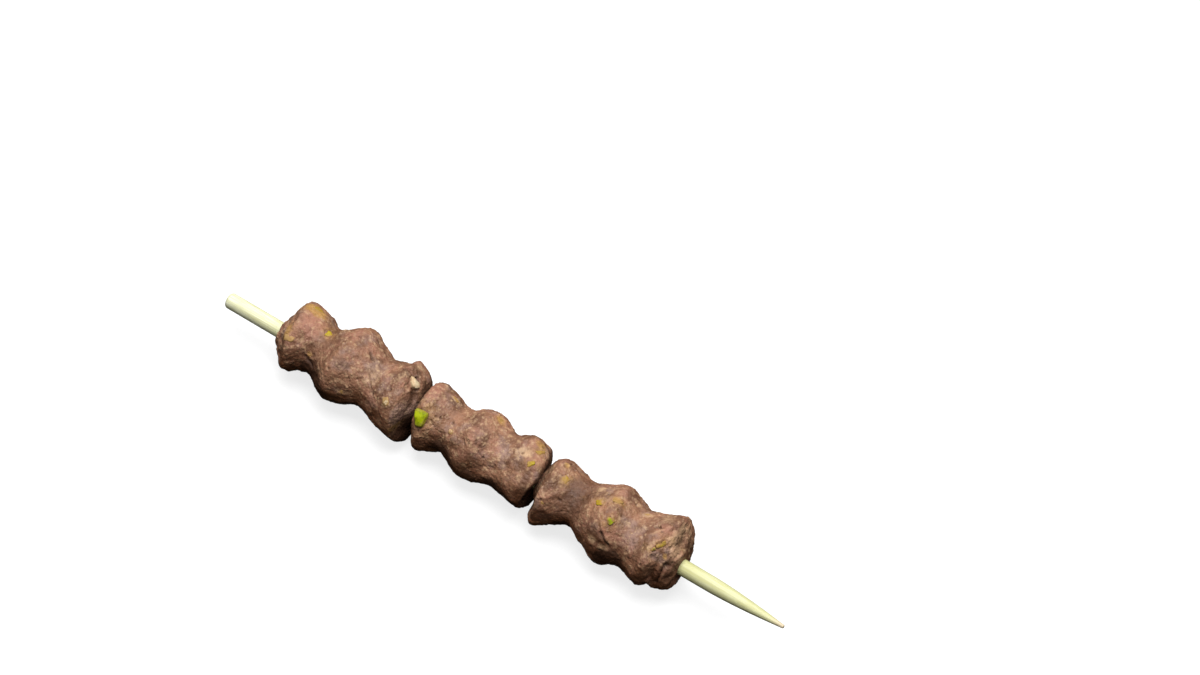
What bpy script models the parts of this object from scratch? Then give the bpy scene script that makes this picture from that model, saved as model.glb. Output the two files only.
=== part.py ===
"""A kibbeh skewer: three pinched pieces of ground meat threaded on a round bamboo stick, lying on a
flat surface.

Metres, +Z up. The stick runs along X with its point towards +X, and the origin lies on the surface
under the middle of the whole.
"""

import itertools
import math

import bmesh
import bpy
import numpy as np
from mathutils import Matrix, Vector
from mathutils.bvhtree import BVHTree

MM = 0.001

# The bamboo stick
STICK_LENGTH = 200 * MM
STICK_RADIUS = 2.5 * MM
STICK_HEIGHT = 11.3 * MM
STICK_SIDES = 24
BLUNT_ROUNDING = 1.3 * MM
BLUNT_STEPS = 4
TAPER_LENGTH = 26 * MM
TAPER_STEPS = 8
TAPER_POWER = 1.55
POINT_RADIUS = 0.6 * MM
POINT_ROUNDING = 0.35 * MM

# The meat: how finely it is divided, and the hole that the stick runs through
BORE_RADIUS = 2.8 * MM
RINGS = 38
SIDES = 40
BORE_RINGS = 3
FINE_STEPS = 24

# The stick lies a little to one side of the middle of the whole
STICK_SIDE = -1.2 * MM

# The meat is pressed a little flat, sags onto the surface, and is not displaced where it grips the stick
PRESSED_HEIGHT = 0.95
HANDLE_SAG = 0.7 * MM
MIDDLE_SAG = 1.3 * MM
POINT_SAG = 0.6 * MM
GRIP_DEPTH = 4 * MM
FAR_SIDE = math.radians(27)
FRONT_SIDE = math.radians(117)

# Lumps of the paste, as size and height
LUMPS = ((6.5 * MM, 0.5 * MM), (3.3 * MM, 0.3 * MM))
LUMP_SEED = 7

# How deep a chip of nut or herb sits: the share of its thickness that is buried
CHIP_SUNK = 0.62
PROBE_DISTANCE = 40 * MM

# Outline of each piece, in mm: place along the stick, mean radius, shift of the ring's centre towards
# the far side, and how far the ring's far side and its upper front side lean towards the point.
# Swellings are round, waists are pinched between them, and the cut ends slant.
HANDLE_OUTLINE = (
    (-80.3, 2.8, 0.0, 0.0, 0.0),
    (-79.9, 4.6, 0.8, 0.0, 0.2),
    (-78.8, 7.0, 2.0, 0.0, 0.4),
    (-76.9, 9.2, 1.8, -0.4, 0.4),
    (-74.2, 11.0, 1.2, -0.6, 0.2),
    (-69.8, 9.5, 1.8, 0.3, 0.0),
    (-64.9, 8.2, 1.2, 0.4, 0.0),
    (-57.7, 12.3, 1.4, 1.4, 0.0),
    (-51.8, 10.8, 1.2, 1.5, 0.0),
    (-46.4, 9.1, 0.8, 1.2, 0.0),
    (-41.0, 10.3, 0.6, 0.0, -0.6),
    (-35.6, 11.9, 0.5, -1.1, -1.2),
    (-32.5, 10.6, -0.2, -0.7, -1.5),
    (-31.3, 7.2, 0.0, -0.2, -0.8),
    (-30.9, 2.8, 0.0, 0.0, 0.0),
)
MIDDLE_OUTLINE = (
    (-30.4, 2.8, 0.0, 0.0, 0.0),
    (-30.1, 6.4, 0.2, 0.0, 0.0),
    (-29.1, 9.3, 0.5, -0.7, 0.2),
    (-26.6, 10.6, 0.6, -0.5, 0.0),
    (-22.4, 9.3, 0.6, 0.4, 0.0),
    (-17.9, 7.9, 0.7, 0.5, 0.0),
    (-9.4, 11.2, 0.6, 0.6, 0.0),
    (-1.2, 8.7, 0.5, 0.2, 0.0),
    (3.4, 9.7, 0.9, -0.6, 0.2),
    (7.2, 10.8, 0.9, -1.1, 1.2),
    (10.2, 10.3, 0.4, -0.6, 3.2),
    (11.4, 8.4, 0.1, 0.0, 3.2),
    (11.9, 5.6, 0.0, 0.0, 2.0),
    (12.1, 2.8, 0.0, 0.0, 0.0),
)
POINT_OUTLINE = (
    (12.7, 2.8, 0.0, 0.0, 0.0),
    (12.9, 5.6, 0.0, 0.0, 1.6),
    (13.6, 8.6, -0.3, 0.3, 1.8),
    (15.0, 10.2, -0.4, 0.3, 1.6),
    (17.6, 11.1, -0.4, 0.4, 0.8),
    (22.4, 9.2, 0.3, 0.2, 0.0),
    (27.2, 7.6, 0.8, 0.0, 0.0),
    (33.0, 10.0, 0.8, -0.4, 0.0),
    (38.6, 12.4, 0.6, -0.8, 0.4),
    (43.0, 10.8, 0.4, -0.4, 0.4),
    (47.4, 9.7, 0.2, 0.0, 0.0),
    (55.2, 12.4, 0.7, 1.2, 0.0),
    (58.6, 11.4, 0.6, 0.8, -0.6),
    (61.6, 9.3, 0.2, 0.0, -0.6),
    (63.2, 6.0, -0.2, -0.2, 0.0),
    (63.7, 2.8, 0.0, 0.0, 0.0),
)

# Knobs that stand out and dents that sink in, in mm and degrees: place along the stick, angle round it
# from the back upwards, height, spread along the stick and spread round it.
HANDLE_FORMS = (
    (-76.6, 38, 0.5, 1.8, 3.0),
    (-78.8, 72, -1.0, 1.8, 4.5),
    (-57.0, 32, 0.8, 2.2, 4.0),
    (-36.8, 33, 1.3, 1.1, 1.6),
    (-33.0, 82, -1.0, 1.3, 1.7),
    (-31.6, 172, -1.0, 1.4, 4.5),
    (-35.4, 64, 0.5, 1.5, 2.0),
    (-50.0, 66, -0.7, 1.0, 1.2),
    (-46.5, 108, -0.7, 2.6, 1.1),
    (-43.4, 131, -0.5, 0.9, 0.9),
    (-37.4, 131, 0.5, 2.0, 2.4),
    (-56.0, 150, 0.5, 2.6, 3.4),
    (-68.0, 158, -0.5, 2.0, 3.0),
    (-61.0, 118, -0.4, 1.6, 2.6),
    (-58.0, 250, 0.5, 3.0, 4.0),
    (-47.0, 205, -0.5, 1.8, 2.4),
    (-40.0, 300, -0.6, 1.8, 3.0),
    (-70.0, 330, 0.5, 2.2, 3.0),
)
MIDDLE_FORMS = (
    (-27.6, 38, 0.4, 1.8, 3.0),
    (-9.4, 40, 0.5, 2.6, 3.6),
    (6.6, 58, 0.8, 2.2, 2.6),
    (9.4, 92, 0.4, 1.4, 1.8),
    (-22.2, 86, -0.5, 1.0, 1.2),
    (-11.4, 122, -0.5, 1.0, 1.4),
    (-24.4, 100, -0.4, 1.0, 1.4),
    (1.0, 130, -0.4, 1.8, 2.6),
    (-3.6, 96, -0.4, 2.2, 1.4),
    (9.0, 142, 0.5, 1.6, 2.2),
    (-28.8, 166, -1.2, 1.5, 4.5),
    (11.6, 170, -1.8, 1.5, 4.5),
    (-8.0, 235, 0.5, 3.0, 3.4),
    (-20.0, 320, -0.5, 1.8, 3.0),
    (5.0, 275, -0.4, 1.6, 2.6),
)
POINT_FORMS = (
    (57.4, 34, 0.9, 1.6, 3.2),
    (57.2, 74, 0.5, 1.2, 2.4),
    (59.6, 96, -0.6, 1.2, 2.2),
    (37.6, 128, 0.7, 2.2, 1.2),
    (42.6, 145, 0.6, 2.2, 1.0),
    (39.6, 150, -0.8, 2.2, 1.2),
    (30.4, 74, -0.6, 1.1, 1.3),
    (54.2, 83, -0.6, 1.4, 0.7),
    (57.2, 148, 1.0, 1.7, 2.8),
    (13.8, 166, -2.0, 1.7, 4.8),
    (60.4, 160, -1.3, 0.8, 4.0),
    (60.2, 186, -1.3, 1.0, 3.6),
    (57.9, 210, -1.7, 0.9, 3.6),
    (61.9, 62, -0.5, 1.1, 2.0),
    (52.0, 112, -0.4, 1.8, 2.4),
    (27.6, 120, -0.4, 2.4, 3.4),
    (19.4, 142, 0.5, 2.0, 3.0),
    (40.0, 240, 0.5, 3.0, 4.0),
    (52.0, 310, -0.6, 2.2, 2.8),
    (61.0, 250, -0.8, 1.1, 2.8),
    (22.0, 300, -0.5, 1.6, 2.6),
)

# Chips of pistachio, herb and nut in the surface, in mm and degrees: place along the stick, angle
# round it, length, width, thickness and turn on the surface.
HANDLE_CHIPS = (
    (-60.6, 229, 3.2, 2.3, 1.3, 50),
    (-65.4, 68, 2.9, 2.6, 1.0, 15),
    (-72.7, 46, 4.6, 2.6, 1.0, 10),
    (-42.5, 348, 3.0, 2.2, 1.2, 110),
    (-34.1, 73, 4.4, 3.4, 2.4, 20),
    (-37.5, 130, 3.4, 2.7, 1.0, 120),
    (-73.8, 121, 3.6, 2.3, 1.0, 10),
    (-52.2, 159, 1.7, 1.2, 1.0, 60),
    (-69.5, 310, 2.8, 2.2, 1.0, 80),
)
MIDDLE_CHIPS = (
    (-26.4, 126, 4.7, 5.7, 2.8, 0),
    (2.6, 321, 3.0, 2.2, 1.3, 65),
    (10.5, 68, 3.4, 2.0, 1.0, 70),
    (10.7, 97, 2.6, 2.0, 1.0, 30),
    (-6.1, 49, 2.6, 1.8, 1.0, 30),
    (-14.1, 236, 3.4, 2.4, 1.3, 20),
    (-16.5, 119, 2.1, 1.9, 1.0, 0),
    (-21.6, 51, 2.8, 1.6, 1.0, 160),
    (-25.4, 285, 2.6, 2.0, 1.0, 130),
)
POINT_CHIPS = (
    (41.0, 111, 3.2, 2.7, 1.0, 60),
    (57.0, 115, 1.8, 1.3, 1.0, 50),
    (31.5, 241, 3.2, 2.3, 1.3, 45),
    (21.5, 85, 2.9, 2.5, 1.0, 80),
    (34.9, 94, 2.8, 2.4, 1.0, 30),
    (39.3, 80, 3.6, 2.2, 1.0, 10),
    (58.1, 103, 4.6, 1.7, 1.0, 54),
    (53.5, 340, 3.1, 2.2, 1.2, 120),
    (19.9, 145, 2.2, 1.7, 1.0, 90),
    (48.1, 58, 2.2, 1.4, 1.0, 20),
    (43.0, 295, 2.8, 2.1, 1.0, 15),
)

MEAT_COLOUR = (0.30, 0.17, 0.115, 1.0)
MEAT_ROUGHNESS = 0.62
BAMBOO_COLOUR = (0.80, 0.76, 0.50, 1.0)
BAMBOO_ROUGHNESS = 0.5
SMOOTH_BELOW = math.radians(40)

ICOSAHEDRON = 1
LATTICE_PRIMES = (73856093, 19349663, 83492791)
HASH_MASK = 0xFFFFFFFF


def clear_scene():
    for obj in list(bpy.data.objects):
        bpy.data.objects.remove(obj)


def material(name, colour, roughness):
    made = bpy.data.materials.new(name)
    made.use_nodes = True
    shader = made.node_tree.nodes["Principled BSDF"]
    shader.inputs["Base Color"].default_value = colour
    shader.inputs["Roughness"].default_value = roughness
    shader.inputs["Metallic"].default_value = 0.0
    return made


def add_object(name, mesh, surface, collection=None):
    mesh.materials.append(surface)
    mesh.shade_smooth()
    mesh.set_sharp_from_angle(angle=SMOOTH_BELOW)
    obj = bpy.data.objects.new(name, mesh)
    (collection or bpy.context.scene.collection).objects.link(obj)
    return obj


def smooth_step(low, high, value):
    share = np.clip((value - low) / (high - low), 0.0, 1.0)
    return share * share * (3 - 2 * share)


def scrambled(cell, seed):
    """A well-mixed whole number for each lattice corner."""
    mixed = np.full(cell.shape[:-1], seed * 2654435761 & HASH_MASK, np.uint64)
    for axis, prime in enumerate(LATTICE_PRIMES):
        mixed ^= (cell[..., axis] * prime).astype(np.uint64) & np.uint64(HASH_MASK)
    for shift in (15, 13):
        mixed = (mixed ^ (mixed >> np.uint64(shift))) * np.uint64(2246822519)
        mixed &= np.uint64(HASH_MASK)
    return mixed ^ (mixed >> np.uint64(16))


def lattice_noise(points, size, seed):
    """Smooth noise from about -1 to 1: a random slope at each corner of a cubic lattice, blended between
    the corners."""
    scaled = points / size
    cell = np.floor(scaled).astype(np.int64)
    part = scaled - cell
    fade = part**3 * (part * (part * 6 - 15) + 10)
    total = np.zeros(points.shape[:-1])
    for corner in itertools.product((0, 1), repeat=3):
        corner = np.array(corner)
        mixed = scrambled(cell + corner, seed)
        turn = (mixed & np.uint64(0xFFFF)).astype(float) / 0xFFFF * 2 * math.pi
        rise = (mixed >> np.uint64(16)).astype(float) / 0xFFFF * 2 - 1
        flat = np.sqrt(1 - rise * rise)
        slope = np.stack((flat * np.cos(turn), flat * np.sin(turn), rise), -1)
        weight = np.prod(np.where(corner == 1, fade, 1 - fade), -1)
        total += weight * np.sum(slope * (part - corner), -1)
    return total * 1.6


def smooth_outline(rows, count):
    """Catmull-Rom curve through the rows, with count points spaced evenly along the line that it draws."""
    knots = np.array(rows) * MM
    knots = np.vstack((2 * knots[0] - knots[1], knots, 2 * knots[-1] - knots[-2]))
    share = np.linspace(0, 1, FINE_STEPS, endpoint=False)[:, None]
    spans = []
    for before, start, end, after in zip(knots, knots[1:], knots[2:], knots[3:]):
        spans.append(
            start
            + 0.5 * share * (end - before)
            + share**2 * (before - 2.5 * start + 2 * end - 0.5 * after)
            + share**3 * (1.5 * (start - end) + 0.5 * (after - before))
        )
    curve = np.vstack((*spans, knots[-2:-1]))
    steps = np.linalg.norm(np.diff(curve[:, :2], axis=0), axis=1)
    length = np.concatenate(([0.0], np.cumsum(steps)))
    even = np.linspace(0, length[-1], count)
    return np.stack([np.interp(even, length, column) for column in curve.T], -1)


def meat_surface(outline, forms, sag):
    """Points of the outer surface, as rings of sides: each ring is shifted, leant and pressed, then lumps,
    knobs and dents move it along the outline's own outward direction, and the underside sags until it
    lies flat."""
    along, radius, shift, far_lean, front_lean = (outline[:, n, None] for n in range(5))
    angle = np.arange(SIDES)[None, :] * (2 * math.pi / SIDES)
    slope = np.gradient(outline[:, :2], axis=0)
    slope /= np.linalg.norm(slope, axis=1)[:, None]
    out_along, out_radius = -slope[:, 1, None], slope[:, 0, None]
    grip = smooth_step(BORE_RADIUS, BORE_RADIUS + GRIP_DEPTH, radius)

    base = np.stack(
        np.broadcast_arrays(along, radius * np.cos(angle), radius * np.sin(angle)), -1
    )
    relief = sum(
        height * lattice_noise(base, size, LUMP_SEED + n)
        for n, (size, height) in enumerate(LUMPS)
    )
    for place, degrees, height, spread_along, spread_round in forms:
        away = (angle - math.radians(degrees) + math.pi) % (2 * math.pi) - math.pi
        reach = ((along - place * MM) / (spread_along * MM)) ** 2
        reach = reach + (radius * away / (spread_round * MM)) ** 2
        relief = relief + height * MM * np.exp(-reach / 2)
    face = np.abs(out_along)
    relief = (relief - np.maximum(relief, 0.0) * smooth_step(0.6, 0.95, face)) * grip

    lean = far_lean * np.cos(angle - FAR_SIDE)
    lean = lean + front_lean * np.maximum(np.cos(angle - FRONT_SIDE), 0.0)
    x = along + grip * lean + relief * out_along
    reach = radius + relief * out_radius
    y = reach * np.cos(angle) + grip * shift * math.cos(FAR_SIDE)
    z = reach * np.sin(angle) + grip * shift * math.sin(FAR_SIDE)
    z = z * (1 - grip * (1 - PRESSED_HEIGHT))
    z = z - grip * sag * np.maximum(-np.sin(angle), 0.0) ** 2
    return np.stack((x, y, np.maximum(z, -STICK_HEIGHT)), -1)


def bore_surface(outline):
    """Rings of the straight hole, from the far end of the outline back to its start."""
    angle = np.arange(SIDES) * (2 * math.pi / SIDES)
    places = np.linspace(outline[-1, 0], outline[0, 0], BORE_RINGS + 2)[1:-1]
    ring = BORE_RADIUS * np.stack((0 * angle, np.cos(angle), np.sin(angle)), -1)
    return ring + places[:, None, None] * (1.0, 0.0, 0.0)


def skin(rings):
    """A closed mesh that joins each ring to the next, and the last to the first."""
    mesh_builder = bmesh.new()
    vertices = [[mesh_builder.verts.new(point) for point in ring] for ring in rings]
    for here, following in zip(vertices, vertices[1:] + vertices[:1]):
        for n in range(SIDES):
            after = (n + 1) % SIDES
            mesh_builder.faces.new(
                (here[n], here[after], following[after], following[n])
            )
    bmesh.ops.recalc_face_normals(mesh_builder, faces=mesh_builder.faces)
    return mesh_builder


def chip_mesh(tree, along, degrees, length, width, thickness, turn):
    """A small faceted chip, lying on the surface that a line towards the stick meets, mostly sunk in it."""
    angle = math.radians(degrees)
    outward = Vector((0, math.cos(angle), math.sin(angle)))
    start = Vector((along * MM, 0, 0)) + outward * PROBE_DISTANCE
    place, normal, _, _ = tree.ray_cast(start, -outward)
    centre = place - normal * (CHIP_SUNK - 0.5) * thickness * MM
    side = normal.cross(Vector((1, 0, 0))).normalized()
    frame = Matrix((side.cross(normal), side, normal)).transposed().to_4x4()
    spin = Matrix.Rotation(math.radians(turn), 4, "Z")
    half = Vector((length, width, thickness)) * MM / 2
    stretch = Matrix.Diagonal((*half, 1))
    mesh_builder = bmesh.new()
    bmesh.ops.create_icosphere(
        mesh_builder,
        subdivisions=ICOSAHEDRON,
        radius=1,
        matrix=Matrix.Translation(centre) @ frame @ spin @ stretch,
    )
    mesh = bpy.data.meshes.new("chip")
    mesh_builder.to_mesh(mesh)
    mesh_builder.free()
    return mesh


def fuse_chips(meat, tree, chips, surface):
    """Joins the chips to the meat with one union, and leaves one solid."""
    group = bpy.data.collections.new("chips")
    bpy.context.scene.collection.children.link(group)
    loose = [
        add_object(f"chip_{n}", chip_mesh(tree, *chip), surface, group)
        for n, chip in enumerate(chips)
    ]
    union = meat.modifiers.new("chips", "BOOLEAN")
    union.operation = "UNION"
    union.operand_type = "COLLECTION"
    union.collection = group
    union.solver = "EXACT"
    graph = bpy.context.evaluated_depsgraph_get()
    joined = bpy.data.meshes.new_from_object(meat.evaluated_get(graph))
    meat.modifiers.clear()
    meat.data = joined
    for chip in loose:
        bpy.data.objects.remove(chip)
    bpy.data.collections.remove(group)


def make_kibbeh(name, rows, forms, sag, chips, axis, surface):
    outline = smooth_outline(rows, RINGS)
    mesh_builder = skin([*meat_surface(outline, forms, sag), *bore_surface(outline)])
    tree = BVHTree.FromBMesh(mesh_builder)
    mesh = bpy.data.meshes.new(name)
    mesh_builder.to_mesh(mesh)
    mesh_builder.free()
    meat = add_object(name, mesh, surface)
    fuse_chips(meat, tree, chips, surface)
    meat.parent = axis


def stick_outline():
    """Points of half the stick's lengthwise section: a rounded blunt end, a straight run, and a long
    convex taper."""
    start, end = -STICK_LENGTH / 2, STICK_LENGTH / 2
    points = [(start, 0.0)]
    for n in range(BLUNT_STEPS + 1):
        turn = math.pi / 2 * n / BLUNT_STEPS
        along = start + BLUNT_ROUNDING * (1 - math.cos(turn))
        points.append((along, STICK_RADIUS - BLUNT_ROUNDING * (1 - math.sin(turn))))
    taper_start = end - TAPER_LENGTH
    for n in range(TAPER_STEPS + 1):
        share = n / TAPER_STEPS
        along = taper_start + share * (TAPER_LENGTH - POINT_ROUNDING)
        points.append((along, STICK_RADIUS - (STICK_RADIUS - POINT_RADIUS) * share**TAPER_POWER))
    points.append((end, POINT_RADIUS - POINT_ROUNDING))
    points.append((end, 0.0))
    return points


def make_stick(axis, surface):
    mesh_builder = bmesh.new()
    corners = [mesh_builder.verts.new((x, r, 0)) for x, r in stick_outline()]
    line = [mesh_builder.edges.new(pair) for pair in zip(corners, corners[1:])]
    bmesh.ops.spin(
        mesh_builder,
        geom=corners + line,
        cent=(0, 0, 0),
        axis=(1, 0, 0),
        angle=2 * math.pi,
        steps=STICK_SIDES,
        use_merge=True,
    )
    bmesh.ops.remove_doubles(mesh_builder, verts=mesh_builder.verts, dist=0.01 * MM)
    bmesh.ops.recalc_face_normals(mesh_builder, faces=mesh_builder.faces)
    mesh = bpy.data.meshes.new("bamboo_stick")
    mesh_builder.to_mesh(mesh)
    mesh_builder.free()
    stick = add_object("bamboo_stick", mesh, surface)
    stick.parent = axis


def make_axis():
    """An empty on the stick's centre line, which carries all of the pieces."""
    axis = bpy.data.objects.new("skewer_axis", None)
    axis.empty_display_size = 5 * MM
    axis.location = (0.0, STICK_SIDE, STICK_HEIGHT)
    bpy.context.scene.collection.objects.link(axis)
    return axis


def main():
    clear_scene()
    meat = material("ground_meat", MEAT_COLOUR, MEAT_ROUGHNESS)
    bamboo = material("bamboo", BAMBOO_COLOUR, BAMBOO_ROUGHNESS)
    axis = make_axis()
    make_stick(axis, bamboo)
    make_kibbeh("kibbeh_handle_end", HANDLE_OUTLINE, HANDLE_FORMS, HANDLE_SAG, HANDLE_CHIPS, axis, meat)
    make_kibbeh("kibbeh_middle", MIDDLE_OUTLINE, MIDDLE_FORMS, MIDDLE_SAG, MIDDLE_CHIPS, axis, meat)
    make_kibbeh("kibbeh_point_end", POINT_OUTLINE, POINT_FORMS, POINT_SAG, POINT_CHIPS, axis, meat)


main()
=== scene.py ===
"""Dresses the kibbeh skewer: pieces of ground meat with nuts and herbs on a bamboo stick, on a pale floor.

Everything is in metres. The stick runs along X with its point towards +X, and the floor is at Z = 0. The
angle round the stick is counted from +Y, the far side, upwards.
"""

import itertools
import math

import bpy
import numpy as np
from bpy.props import FloatProperty, FloatVectorProperty, IntProperty, PointerProperty
from mathutils import Matrix, Vector


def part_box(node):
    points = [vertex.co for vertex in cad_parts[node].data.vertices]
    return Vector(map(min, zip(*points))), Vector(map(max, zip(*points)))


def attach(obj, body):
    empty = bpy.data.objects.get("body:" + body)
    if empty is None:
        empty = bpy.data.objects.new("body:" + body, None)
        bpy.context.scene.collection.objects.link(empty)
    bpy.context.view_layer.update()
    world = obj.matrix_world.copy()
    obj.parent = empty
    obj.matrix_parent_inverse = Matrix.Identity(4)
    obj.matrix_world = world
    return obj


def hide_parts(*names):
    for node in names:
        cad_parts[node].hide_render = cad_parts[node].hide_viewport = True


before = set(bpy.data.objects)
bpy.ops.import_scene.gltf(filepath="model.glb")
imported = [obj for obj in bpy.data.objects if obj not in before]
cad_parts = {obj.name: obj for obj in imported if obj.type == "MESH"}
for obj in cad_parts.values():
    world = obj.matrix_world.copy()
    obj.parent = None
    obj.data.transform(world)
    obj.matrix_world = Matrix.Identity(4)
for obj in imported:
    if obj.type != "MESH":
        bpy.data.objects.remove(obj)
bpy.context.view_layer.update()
STICK_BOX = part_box("bamboo_stick")

bl_info = {
    "name": "Kibbeh skewer",
    "version": (1, 0, 0),
    "blender": (4, 5, 0),
    "location": "3D View > Sidebar > Kibbeh",
    "description": "Makes the meat, nuts, herbs and stick of a kibbeh skewer",
    "category": "Mesh",
}

MM = 0.001
BODY = "root"
STICK_SIDE = (STICK_BOX[0].y + STICK_BOX[1].y) / 2
STICK_HEIGHT = (STICK_BOX[0].z + STICK_BOX[1].z) / 2
STICK_START = STICK_BOX[0].x
FULL_TURN = 2 * math.pi

# How the meat lies: pressed a little flat, sagging onto the floor, and gripping the stick
BORE_RADIUS = 2.5 * MM
CAD_BORE = 2.8 * MM
BORE_RINGS = 12
FINE_STEPS = 24
PRESSED_HEIGHT = 0.95
GRIP_DEPTH = 4 * MM
FAR_SIDE = math.radians(27)
FRONT_SIDE = math.radians(117)
LUMP_SIZES = (6.5 * MM, 3.3 * MM)
LUMP_HEIGHTS = (0.5 * MM, 0.3 * MM)
LUMP_SEED = 7

# The fine surface. The kneaded texture is noises of these shares, sizes and seeds.
TEXTURE = ((0.13, 1.9 * MM, 21), (0.12, 1.05 * MM, 22), (0.10, 0.6 * MM, 23))
SMOOTHER_BELOW = 0.45
GRAIN_SIZE = 1.4 * MM
PIT_SIZE = 2.4 * MM
CREASE_SIZE = 5.0 * MM
CREASED_AREA_SIZE = 8 * MM
CHIP_RIM_HEIGHT = 0.12 * MM
CHIP_GROOVE_DEPTH = 0.22 * MM
# End faces before and beyond these places meet nothing, so they may be rougher than those between pieces
FREE_ENDS = (-70 * MM, 50 * MM)
END_ROUGHNESS = 0.42 * MM
END_ROUGHNESS_SIZE = 2.3 * MM
FACING_ROOM = 0.08 * MM
SIDE_ROOM = 0.6 * MM

# Outline of each piece, in mm: place along the stick, mean radius, shift of the ring's centre towards the far
# side, and how far the ring's far side and its upper front side lean towards the point
HANDLE_OUTLINE = (
    (-80.3, 2.8, 0, 0, 0),
    (-79.9, 4.6, 0.8, 0, 0.2),
    (-78.8, 7, 2, 0, 0.4),
    (-76.9, 9.2, 1.8, -0.4, 0.4),
    (-74.2, 11, 1.2, -0.6, 0.2),
    (-69.8, 9.5, 1.8, 0.3, 0),
    (-64.9, 8.2, 1.2, 0.4, 0),
    (-57.7, 12.3, 1.4, 1.4, 0),
    (-51.8, 10.8, 1.2, 1.5, 0),
    (-46.4, 9.1, 0.8, 1.2, 0),
    (-41, 10.3, 0.6, 0, -0.6),
    (-35.6, 11.9, 0.5, -1.1, -1.2),
    (-32.5, 10.6, -0.2, -0.7, -1.5),
    (-31.3, 7.2, 0, -0.2, -0.8),
    (-30.9, 2.8, 0, 0, 0),
)
MIDDLE_OUTLINE = (
    (-30.4, 2.8, 0, 0, 0),
    (-30.1, 6.4, 0.2, 0, 0),
    (-29.1, 9.3, 0.5, -0.7, 0.2),
    (-26.6, 10.6, 0.6, -0.5, 0),
    (-22.4, 9.3, 0.6, 0.4, 0),
    (-17.9, 7.9, 0.7, 0.5, 0),
    (-9.4, 11.2, 0.6, 0.6, 0),
    (-1.2, 8.7, 0.5, 0.2, 0),
    (3.4, 9.7, 0.9, -0.6, 0.2),
    (7.2, 10.8, 0.9, -1.1, 1.2),
    (10.2, 10.3, 0.4, -0.6, 3.2),
    (11.4, 8.4, 0.1, 0, 3.2),
    (11.9, 5.6, 0, 0, 2),
    (12.1, 2.8, 0, 0, 0),
)
POINT_OUTLINE = (
    (12.7, 2.8, 0, 0, 0),
    (12.9, 5.6, 0, 0, 1.6),
    (13.6, 8.6, -0.3, 0.3, 1.8),
    (15, 10.2, -0.4, 0.3, 1.6),
    (17.6, 11.1, -0.4, 0.4, 0.8),
    (22.4, 9.2, 0.3, 0.2, 0),
    (27.2, 7.6, 0.8, 0, 0),
    (33, 10, 0.8, -0.4, 0),
    (38.6, 12.4, 0.6, -0.8, 0.4),
    (43, 10.8, 0.4, -0.4, 0.4),
    (47.4, 9.7, 0.2, 0, 0),
    (55.2, 12.4, 0.7, 1.2, 0),
    (58.6, 11.4, 0.6, 0.8, -0.6),
    (61.6, 9.3, 0.2, 0, -0.6),
    (63.2, 6, -0.2, -0.2, 0),
    (63.7, 2.8, 0, 0, 0),
)

# Knobs and dents, in mm and degrees: place along the stick, angle round it, height, spread along and spread
# round
HANDLE_FORMS = (
    (-76.6, 38, 0.5, 1.8, 3),
    (-78.8, 72, -1, 1.8, 4.5),
    (-57, 32, 0.8, 2.2, 4),
    (-36.8, 33, 1.3, 1.1, 1.6),
    (-33, 82, -1, 1.3, 1.7),
    (-31.6, 172, -1, 1.4, 4.5),
    (-35.4, 64, 0.5, 1.5, 2),
    (-50, 66, -0.7, 1, 1.2),
    (-46.5, 108, -0.7, 2.6, 1.1),
    (-43.4, 131, -0.5, 0.9, 0.9),
    (-37.4, 131, 0.5, 2, 2.4),
    (-56, 150, 0.5, 2.6, 3.4),
    (-68, 158, -0.5, 2, 3),
    (-61, 118, -0.4, 1.6, 2.6),
    (-58, 250, 0.5, 3, 4),
    (-47, 205, -0.5, 1.8, 2.4),
    (-40, 300, -0.6, 1.8, 3),
    (-70, 330, 0.5, 2.2, 3),
)
MIDDLE_FORMS = (
    (-27.6, 38, 0.4, 1.8, 3),
    (-9.4, 40, 0.5, 2.6, 3.6),
    (6.6, 58, 0.8, 2.2, 2.6),
    (9.4, 92, 0.4, 1.4, 1.8),
    (-22.2, 86, -0.5, 1, 1.2),
    (-11.4, 122, -0.5, 1, 1.4),
    (-24.4, 100, -0.4, 1, 1.4),
    (1, 130, -0.4, 1.8, 2.6),
    (-3.6, 96, -0.4, 2.2, 1.4),
    (9, 142, 0.5, 1.6, 2.2),
    (-28.8, 166, -1.2, 1.5, 4.5),
    (11.6, 170, -1.8, 1.5, 4.5),
    (-8, 235, 0.5, 3, 3.4),
    (-20, 320, -0.5, 1.8, 3),
    (5, 275, -0.4, 1.6, 2.6),
)
POINT_FORMS = (
    (57.4, 34, 0.9, 1.6, 3.2),
    (57.2, 74, 0.5, 1.2, 2.4),
    (59.6, 96, -0.6, 1.2, 2.2),
    (37.6, 128, 0.7, 2.2, 1.2),
    (42.6, 145, 0.6, 2.2, 1),
    (39.6, 150, -0.8, 2.2, 1.2),
    (30.4, 74, -0.6, 1.1, 1.3),
    (54.2, 83, -0.6, 1.4, 0.7),
    (57.2, 148, 1, 1.7, 2.8),
    (13.8, 166, -2, 1.7, 4.8),
    (60.4, 160, -1.3, 0.8, 4),
    (60.2, 186, -1.3, 1, 3.6),
    (57.9, 210, -1.7, 0.9, 3.6),
    (61.9, 62, -0.5, 1.1, 2),
    (52, 112, -0.4, 1.8, 2.4),
    (27.6, 120, -0.4, 2.4, 3.4),
    (19.4, 142, 0.5, 2, 3),
    (40, 240, 0.5, 3, 4),
    (52, 310, -0.6, 2.2, 2.8),
    (61, 250, -0.8, 1.1, 2.8),
    (22, 300, -0.5, 1.6, 2.6),
)

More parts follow.
